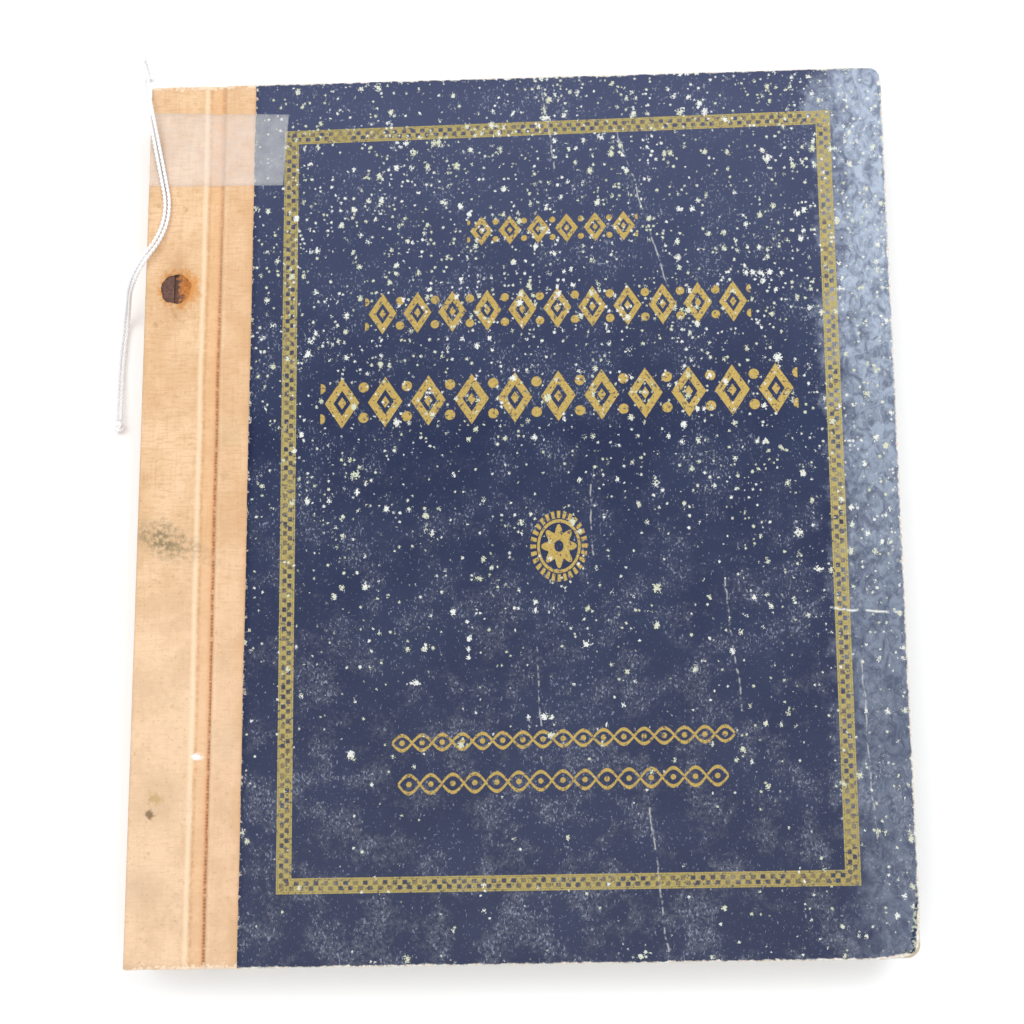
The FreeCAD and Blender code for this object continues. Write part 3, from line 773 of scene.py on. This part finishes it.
def spaced(low, high, step):
    """Evenly spaced numbers from low to high, about step apart."""
    count = max(1, round(abs(high - low) / step))
    return [low + (high - low) * index / count for index in range(count + 1)]


def wobble(a, b, grain, amount, seed=0.0):
    """A small smooth offset that depends only on the place."""
    return noise.noise(Vector((a / grain, b / grain, seed))) * amount


# --- The ticket string: one loop, so two strands from the knot to the bight ---

STRING_ROUTE = [
    (-0.121, 0.03, 0.00215),
    (-0.1214, 0.042, 0.00125),
    (-0.1209, 0.053, 0.00125),
    (-0.1198, 0.0625, 0.00125),
    (-0.1107, 0.0678, 0.0238),
    (-0.1003, 0.0845, 0.02075),
    (-0.1044, 0.104, 0.02075),
    (-0.1092, 0.1295, 0.0239),
    (-0.1142, 0.1365, 0.00125),
    (-0.117, 0.145, 0.00125),
]
PLY_RADIUS = 0.3 * MM
TWIST_RADIUS = 0.28 * MM
TWIST_PITCH = 2.6 * MM
BIGHT_STEPS = 8
ACROSS_WHERE_STEEP = Vector((0.75, -0.66, 0.0))
TANGLE_STEPS = 96


def route_points():
    """The string's centreline, read from the smooth spline that its route controls."""
    curve = bpy.data.curves.new("string_route", "CURVE")
    curve.dimensions = "3D"
    spline = curve.splines.new("NURBS")
    spline.points.add(len(STRING_ROUTE) - 1)
    for point, place in zip(spline.points, STRING_ROUTE):
        point.co = (*place, 1.0)
    spline.order_u = 3
    spline.use_endpoint_u = True
    spline.resolution_u = 40
    holder = placed("string_route", curve)
    line = bpy.data.meshes.new_from_object(holder)
    points = [v.co.copy() for v in line.vertices]
    bpy.data.objects.remove(holder)
    return points


def direction(line, index):
    """Unit vector along the line at one of its points."""
    return (line[min(index + 1, len(line) - 1)] - line[max(index - 1, 0)]).normalized()


def round_point(centre, side, up, radius, angle):
    return centre + side * (radius * cos(angle)) + up * (radius * sin(angle))


def tube_round(line, radius, sides):
    """Points and faces of a closed tube round a line."""
    points, faces = [], []
    side = direction(line, 0).orthogonal().normalized()
    for index, centre in enumerate(line):
        ahead = direction(line, index)
        side = (side - ahead * side.dot(ahead)).normalized()
        up = ahead.cross(side)
        for k in range(sides):
            points.append(round_point(centre, side, up, radius, 2 * pi * k / sides))
    rings = len(line)
    for ring in range(rings - 1):
        for k in range(sides):
            a, b = ring * sides + k, ring * sides + (k + 1) % sides
            faces.append((a, b, b + sides, a + sides))
    faces.append(tuple(range(sides))[::-1])
    faces.append(tuple((rings - 1) * sides + k for k in range(sides)))
    return points, faces


def merged(parts):
    """Points and faces of several parts as one."""
    points, faces = [], []
    for part_points, part_faces in parts:
        start = len(points)
        points += part_points
        faces += [tuple(index + start for index in face) for face in part_faces]
    return points, faces


def strands(line):
    """Two strands, each of two plies twisted together, which join in a bight at the far end."""
    strand_apart = STRING_WIDE / 2 - PLY_RADIUS - TWIST_RADIUS
    right, left = [], []
    for index, centre in enumerate(line):
        ahead = direction(line, index)
        flat = Vector((-ahead.y, ahead.x, 0.0))
        across = flat.normalized() if flat.length > 0.2 else ACROSS_WHERE_STEEP
        right.append(centre + across * strand_apart)
        left.append(centre - across * strand_apart)
    bight_centre, ahead = line[-1], (line[-1] - line[-2]).normalized()
    side = right[-1] - bight_centre
    bight = [
        round_point(bight_centre, side, ahead * side.length, 1.0, pi * k / BIGHT_STEPS)
        for k in range(1, BIGHT_STEPS)
    ]
    loop = right + bight + left[::-1]
    plies = []
    for phase in (0.0, pi):
        travelled = 0.0
        twisted = []
        for index, centre in enumerate(loop):
            ahead = direction(loop, index)
            travelled += (centre - loop[max(index - 1, 0)]).length
            side = ahead.cross(Vector((0.1, 0.2, 1.0))).normalized()
            angle = phase + 2 * pi * travelled / TWIST_PITCH
            twisted.append(round_point(centre, side, side.cross(ahead), TWIST_RADIUS, angle))
        plies.append(tube_round(twisted, PLY_RADIUS, 6))
    return merged(plies)


def resampled(line, step):
    """Points about step apart along a line."""
    result, carried = [line[0]], 0.0
    for start, end in zip(line, line[1:]):
        length = (end - start).length
        while carried + length >= step:
            start = start.lerp(end, (step - carried) / length)
            length = (end - start).length
            result.append(start)
            carried = 0.0
        carried += length
    result.append(line[-1])
    return result


def make_string():
    line = resampled(route_points(), 0.45 * MM)
    length = sum((b - a).length for a, b in zip(line, line[1:]))
    points, faces = strands(line)
    string = new_piece("ticket_string_loop", points, faces, STRING)
    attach(string, "binding")
    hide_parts("ticket_string")

    low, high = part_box("ticket_string_knot")
    centre = (low + high) / 2
    tangle = []
    for index in range(TANGLE_STEPS):
        angle = 2 * pi * index / TANGLE_STEPS
        around = (sin(2 * angle) + 2.0) * 0.42
        rise = cos(2 * angle) * 0.75
        place = Vector((around * cos(3 * angle), around * sin(3 * angle), rise))
        tangle.append(centre + place * MM)
    tangle.append(tangle[0])
    knot_parts = [tube_round(tangle, 0.52 * MM, 8)]
    for sway in (-0.5, 0.4):
        tail = [
            centre + Vector((sway * k * 0.35, -1.0 - 0.45 * k, -0.7 - 0.12 * k)) * MM
            for k in range(3)
        ]
        knot_parts.append(tube_round(tail, 0.42 * MM, 7))
    knot_points, knot_faces = merged(knot_parts)
    knot = new_piece("ticket_string_knot_tied", knot_points, knot_faces, STRING)
    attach(knot, "binding")
    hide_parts("ticket_string_knot")


make_string()


# --- Cloth: the front piece runs over the spine and meets the back piece below ---


def cloth_profile(front):
    """Points (x, depth below the outer face, outward direction, turned-in depth, turn-in)."""
    single = 0.9 * MM
    spine_turn, strip_turn, cover_turn = 1.6 * MM, 2.6 * MM, 9.0 * MM
    profile = []
    if front:
        for depth in spaced(TOP - SPINE_ROUND, SPINE_ROUND, 1.4 * MM)[:-1]:
            profile.append((SPINE_X, depth, (-1.0, 0.0), single, spine_turn))
    for angle in spaced(0.0, pi / 2, radians(15)):
        x = SPINE_X + SPINE_ROUND * (1 - cos(angle))
        depth = SPINE_ROUND * (1 - sin(angle))
        profile.append((x, depth, (-cos(angle), sin(angle)), single, spine_turn))
    for x in spaced(SPINE_X + SPINE_ROUND + 0.8 * MM, STRIP_END - 1.2 * MM, 0.7 * MM):
        profile.append((x, 0.0, (0.0, 1.0), STRIP_THICK, strip_turn))
    rise = 0.16 * MM if front else 0.0
    groove = GROOVE_END - STRIP_END
    for share, depth in (
        (-0.12, -0.4 * rise), (-0.03, -rise), (0.06, -rise), (0.14, -0.3 * rise), (0.22, 0.18 * MM),
        (0.32, 0.38 * MM), (0.44, 0.45 * MM), (0.58, 0.4 * MM), (0.7, 0.42 * MM),
        (0.8, 0.55 * MM), (0.87, 0.85 * MM), (0.92, 0.95 * MM), (0.97, 0.8 * MM),
        (1.02, 0.35 * MM), (1.07, 0.08 * MM), (1.13, 0.0),
    ):
        turned = single if 0.05 < share < 0.98 else (STRIP_THICK if share < 0.5 else COVER_THICK)
        profile.append((STRIP_END + groove * share, depth, (0.0, 1.0), turned, strip_turn))
    for x in spaced(GROOVE_END + 1.3 * MM, PAPER_START + 0.1 * MM, 0.9 * MM):
        profile.append((x, 0.0, (0.0, 1.0), COVER_THICK, cover_turn))
    return profile


def across_the_cloth(turned, turn_in):
    """(y, depth) from the turn-in at the tail over the outer face to the turn-in at the head."""
    corner = 0.35 * MM
    side = [
        (HALF_TALL - turn_in, turned), (HALF_TALL - corner, turned), (HALF_TALL, turned - corner),
        (HALF_TALL, turned / 2), (HALF_TALL, corner), (HALF_TALL - 0.3 * corner, 0.3 * corner),
        (HALF_TALL - corner, 0.0),
    ]
    low = [(-y, depth) for y, depth in side]
    middle = [(y, 0.0) for y in spaced(-HALF_TALL + 3 * MM, HALF_TALL - 3 * MM, 1.6 * MM)]
    return low + middle + side[::-1]


def cloth_piece(side):
    """One cloth, frayed at head and tail; the front one also lies a little uneven."""
    front = side == "front"
    points = []
    rows = 0
    for x, depth, (out_x, out_z), turned, turn_in in cloth_profile(front):
        across = across_the_cloth(turned, turn_in)
        rows = len(across)
        for y, inward in across:
            frayed = puff = 0.0
            if abs(y) > HALF_TALL - 0.5 * MM:
                frayed = abs(wobble(x, y, 1.5 * MM, 0.25 * MM, 3.0))
            if inward == 0.0 and front:
                puff = wobble(x, y, 9 * MM, 0.05 * MM, 8.0)
            px = x - out_x * (inward - puff)
            pz = TOP - depth - out_z * (inward - puff)
            points.append((px, y - copysign(frayed, y), pz if front else TOP - pz))
    faces = grid_faces(len(points) // rows, rows)
    cloth = new_piece(
        side + "_cloth", points, faces if front else flipped(faces),
        FRONT_CLOTH if front else BACK_CLOTH,
    )
    thicken(cloth, CLOTH_THICK)
    return cloth


HOLE_RADIUS, CUT_HALF_HIGH = 4.4 * MM, 1.0 * MM
HOLE_SIDES, HOLE_SEED = 46, 5


def hole_cutter():
    """Prism with a ragged outline, for the hole that rust has made in the cloth."""
    draw = random.Random(HOLE_SEED)
    outline = []
    for index in range(HOLE_SIDES):
        angle = 2 * pi * index / HOLE_SIDES
        ragged = wobble(cos(angle), sin(angle), 0.45, 0.1, 2.0)
        reach = HOLE_RADIUS * (1 + ragged + draw.uniform(-0.02, 0.02))
        outline.append((SCREW.x + reach * cos(angle), SCREW.y + reach * sin(angle)))
    levels = (TOP - CUT_HALF_HIGH, TOP + CUT_HALF_HIGH)
    points = [(x, y, level) for level in levels for x, y in outline]
    count = HOLE_SIDES
    faces = [tuple(range(count))[::-1], tuple(range(count, 2 * count))]
    for index in range(count):
        after = (index + 1) % count
        faces.append((index, after, after + count, index + count))
    return new_piece("hole_cutter", points, faces, FRONT_CLOTH)


def cut_hole(piece, cutter):
    """Cuts the cutter out of the piece and removes it."""
    hole = piece.modifiers.new("hole", "BOOLEAN")
    hole.operation = "DIFFERENCE"
    hole.object = cutter
    hole.solver = "EXACT"
    apply_modifiers(piece)
    bpy.data.objects.remove(cutter)


def make_cloths():
    front = cloth_piece("front")
    cut_hole(front, hole_cutter())
    back = cloth_piece("back")
    for cloth, side in ((front, "front"), (back, "back")):
        cloth.data.polygons.foreach_set("use_smooth", [True] * len(cloth.data.polygons))
        side + "_cover"
        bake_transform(cloth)
        nodes = [side + "_hinge_cloth", side + "_quarter_cloth"]
        if side == "front":
            nodes.append("spine_cloth")
        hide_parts(*nodes)
        up_spine = TOP - SPINE_ROUND if side == "front" else SPINE_ROUND
        wide = up_spine + (PAPER_START - SPINE_X)
        one_side = sum(polygon.area for polygon in cloth.data.polygons) / 2
        tall = one_side / wide
        side + "_strip_board"
        side + "_cover_board"


make_cloths()


# --- Paper coverings ---

TURN_IN = 6.5 * MM
TORN_REACH, TORN_DEEP = 11 * MM, 1.1 * MM


def rounded_corner(x, y, radius):
    """Pulls a point that lies outside the rounded fore-edge corner onto its arc."""
    centre_x, centre_y = FORE_EDGE - radius, HALF_TALL - radius
    dx, dy = x - centre_x, abs(y) - centre_y
    distance = hypot(dx, dy)
    if dx > 0 and dy > 0 and distance > radius:
        x = centre_x + dx * radius / distance
        y = copysign(centre_y + dy * radius / distance, y)
    return x, y


def paper_piece(side):
    """Paper over one cover: outer face, rounded edges and the turn-in on the inside."""
    front = side == "front"
    corner_radius = 4.0 * MM
    edge_round = 0.5 * MM
    step = 2.2 * MM
    columns = spaced(PAPER_START, FORE_EDGE, step)
    rows = spaced(-HALF_TALL, HALF_TALL, step)
    last_i, last_j = len(columns) - 1, len(rows) - 1
    rim = [
        (edge_round, 0.0), (0.35 * edge_round, 0.18 * edge_round),
        (0.08 * edge_round, 0.5 * edge_round), (0.0, edge_round), (0.0, COVER_THICK / 2),
        (0.0, COVER_THICK - edge_round), (0.3 * edge_round, COVER_THICK - 0.2 * edge_round),
        (edge_round, COVER_THICK), (TURN_IN, COVER_THICK),
    ]

    def settled(x, y, inset, depth):
        """A point of the outline, moved in by inset and down by depth."""
        if front:
            near = hypot(x - FORE_EDGE, y + HALF_TALL)
            uneven = 0.8 + wobble(x, y, 1.4 * MM, 0.5, 4.0)
            inset += max(0.0, 1.0 - near / TORN_REACH) * TORN_DEEP * uneven
        inset += max(0.0, wobble(x, y, 3.0 * MM, 0.5 * MM, 6.0) - 0.1 * MM)
        shrink_x = (FORE_EDGE - inset - PAPER_START) / (FORE_EDGE - PAPER_START)
        shrink_y = (HALF_TALL - inset) / HALF_TALL
        return Vector((PAPER_START + (x - PAPER_START) * shrink_x, y * shrink_y, TOP - depth))

    points = []
    for i, x in enumerate(columns):
        for j, y in enumerate(rows):
            px, py = rounded_corner(x, y, corner_radius)
            if i == last_i or j in (0, last_j):
                points.append(settled(px, py, *rim[0]))
            else:
                lift = wobble(px, py, 38 * MM, 0.1 * MM, 1.0) if front else 0.0
                points.append(Vector((px, py, TOP - max(0.0, -lift) * 0.8)))
    faces = grid_faces(len(columns), len(rows))

    loop = [(i, 0) for i in range(last_i)] + [(last_i, j) for j in range(last_j)]
    loop += [(i, last_j) for i in range(last_i, -1, -1)]
    ring = [i * len(rows) + j for i, j in loop]
    for inset, depth in rim[1:]:
        fresh = list(range(len(points), len(points) + len(loop)))
        for i, j in loop:
            px, py = rounded_corner(columns[i], rows[j], corner_radius)
            points.append(settled(px, py, inset, depth))
        faces += [(a, d, c, b) for a, b, c, d in zip(ring, ring[1:], fresh[1:], fresh)]
        ring = fresh
    if not front:
        points = [Vector((p.x, p.y, TOP - p.z)) for p in points]
        faces = flipped(faces)
    paper = new_piece(
        side + "_paper", points, faces, FRONT_PAPER if front else BACK_PAPER
    )
    thicken(paper, PAPER_THICK)
    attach(paper, side + "_cover")
    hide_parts(side + "_cover_paper")


for cover_side in ("front", "back"):
    paper_piece(cover_side)


# --- Tape over the front hinge ---


def cloth_depth_at(x):
    """Depth of the front cloth's face below the top at x, between the profile's points."""
    level = [(p[0], p[1]) for p in cloth_profile(True) if p[2] == (0.0, 1.0)]
    for (x_a, depth_a), (x_b, depth_b) in zip(level, level[1:]):
        if x_a <= x <= x_b:
            return depth_a + (depth_b - depth_a) * (x - x_a) / (x_b - x_a)
    return 0.0


TAPE_THICK = 0.05 * MM
TAPE_ABOVE = 0.11 * MM
TAPE_SINKS = 0.35 * MM
CURL_WIDE, CURL_HIGH = 3.6 * MM, 1.1 * MM


def make_tape():
    """A slightly skewed strip that dips over the groove, its lower corner curled up."""
    low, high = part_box("tape_strip")
    right_low, right_high = Vector((-67.9 * MM, 95.3 * MM)), Vector((high.x, 117.2 * MM))
    left_low, left_high = Vector((low.x, 95.9 * MM)), Vector((low.x, high.y))
    columns = spaced(0.0, 1.0, 0.015)
    rows = spaced(0.0, 1.0, 1 / 14)
    points = []
    for along in columns:
        for up in rows:
            px, py = left_low.lerp(left_high, up).lerp(right_low.lerp(right_high, up), along)
            from_end = (px - low.x) / CURL_WIDE
            curl = max(0.0, 1 - from_end) ** 1.5 * max(0.0, 1 - up * 3.2) * CURL_HIGH
            sunk = min(cloth_depth_at(px), TAPE_SINKS)
            points.append((px, py, TOP - sunk + TAPE_ABOVE + curl))
    faces = grid_faces(len(columns), len(rows))
    strip = new_piece("sticky_tape", points, faces, TAPE)
    thicken(strip, TAPE_THICK)
    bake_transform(strip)
    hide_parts("tape_strip")


make_tape()


# --- Leaves: thin pages that turn flat, on linen strips ---

SHORTEST_BEND = 4 * MM
LEAVES_IN_SECTION = 5
LEAF_SEED = 11
SHORTEST, TRIMMED_MOST, SKEWED_MOST = 0.9, 0.35, 0.25


def thin_sheet(columns, rows, base, thickness, skew):
    """Closed flat sheet; skew is how much further its head reaches than its middle."""
    points = []
    for level in (0.0, thickness):
        for x in columns:
            for y in rows:
                share = (x - STRIP_END) / (LEAF_END - STRIP_END)
                points.append(Vector((x + skew * share * y / LEAF_HALF_TALL, y, base + level)))
    wide, tall = len(columns), len(rows)
    upper = [tuple(v + wide * tall for v in face) for face in grid_faces(wide, tall)]
    rim = [c * tall for c in range(wide)] + [(wide - 1) * tall + r for r in range(1, tall)]
    rim += [c * tall + tall - 1 for c in range(wide - 2, -1, -1)] + list(range(tall - 2, 0, -1))
    walls = [(a, b, b + wide * tall, a + wide * tall) for a, b in zip(rim, rim[1:] + rim[:1])]
    return points, flipped(grid_faces(wide, tall)) + upper + walls


def leaf_sheets(name, count, draw):
    """The pages of one section, which stay flat, and the linen strips for them."""
    low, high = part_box(name)
    pitch = (high.z - low.z - LEAF_THICK) / (count - 1) if count > 1 else 0.0
    flex = 2 * (HINGES[name + "_turn"]["pos_m"][0] - STRIP_END)
    pages, linens = [], []
    for index in range(count):
        base = low.z + pitch * index
        short = draw.uniform(0.0, SHORTEST) * MM
        trim = draw.uniform(0.0, TRIMMED_MOST) * MM
        skew = draw.uniform(-SKEWED_MOST, SKEWED_MOST) * MM
        rows = spaced(-LEAF_HALF_TALL + trim, LEAF_HALF_TALL - trim, 41 * MM)
        columns = spaced(low.x, LEAF_END - short, 26 * MM)
        pages.append(thin_sheet(columns, rows, base, LEAF_THICK, skew))
        columns = spaced(STRIP_END + 0.05 * MM, low.x, 0.85 * MM)
        linens.append(thin_sheet(columns, rows, base + 0.02 * MM, LEAF_THICK - 0.04 * MM, 0.0))
    paper = PLAIN_PAPER if "flyleaf" in name else LEAF_PAPER
    points, faces = merged(pages)
    sheets = new_piece(name + "_sheets", points, faces, paper, smooth=False)
    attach(sheets, name)
    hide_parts(name)
    points, faces = merged(linens)
    strips = new_piece(name + "_linen", points, faces, LINEN, smooth=False)
    STRIP_END + max(flex, SHORTEST_BEND)
    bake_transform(strips)
    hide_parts(name + "_hinge")


def make_leaves():
    draw = random.Random(LEAF_SEED)
    for name in sorted(frame["bodies"]):
        if name.startswith("leaf_section"):
            leaf_sheets(name, LEAVES_IN_SECTION, draw)
        elif name not in ("binding", "front_cover", "back_cover"):
            leaf_sheets(name, 1, draw)


make_leaves()


# --- CAD nodes that stay: their materials ---

KEPT_NODES = {"leaf_stubs": PLAIN_PAPER, "guard_strips": GUARD}
for side in ("front", "back"):
    KEPT_NODES[side + "_strip_board"] = KEPT_NODES[side + "_cover_board"] = BOARD
    KEPT_NODES[side + "_endpaper"] = ENDPAPER
for end in ("upper", "lower"):
    KEPT_NODES[end + "_binding_post"] = KEPT_NODES[end + "_post_screw"] = STEEL
for node_name, node_material in KEPT_NODES.items():
    node_mesh = frame["nodes"][node_name].data
    node_mesh.materials.clear()
    node_mesh.materials.append(node_material)


# --- Floor and light ---

FLOOR_HALF_WIDE = 4.0
FLOOR_TONE = (0.965, 0.965, 0.97, 1.0)
WORLD_TONE, WORLD_STRENGTH = (0.97, 0.985, 1.0, 1.0), 0.81
# Name, place, target, side in metres, watts, colour.
LIGHTS = (
    ("key_light", (-0.45, 0.1, 1.3), (0, 0, 0), 1.2, 6.9, (1.0, 0.985, 0.96)),
    ("window_light", (0.42, 0.34, 0.85), (0.05, 0.05, 0), 0.35, 3.0, (0.92, 0.96, 1.0)),
)


def add_floor():
    paint = Paint("floor_paint", roughness=0.9, specular=0.1)
    paint.shader.inputs["Base Color"].default_value = FLOOR_TONE
    mesh = bpy.data.meshes.new("floor")
    far = FLOOR_HALF_WIDE
    corners = [(-far, -far, 0), (far, -far, 0), (far, far, 0), (-far, far, 0)]
    mesh.from_pydata(corners, [], [(0, 1, 2, 3)])
    mesh.materials.append(paint.material)
    placed("floor", mesh)


def add_light(name, place, target, size, power, colour):
    data = bpy.data.lights.new(name, "AREA")
    data.shape = "SQUARE"
    data.size = size
    data.energy = power
    data.color = colour
    light = placed(name, data)
    light.location = place
    light.rotation_euler = (Vector(target) - Vector(place)).to_track_quat("-Z", "Y").to_euler()


def add_surroundings():
    world = bpy.data.worlds.new("studio")
    world.use_nodes = True
    background = world.node_tree.nodes["Background"]
    background.inputs["Color"].default_value = WORLD_TONE
    background.inputs["Strength"].default_value = WORLD_STRENGTH
    bpy.context.scene.world = world
    bpy.context.scene.view_settings.view_transform = "Standard"
    for light in LIGHTS:
        add_light(*light)


add_floor()
add_surroundings()
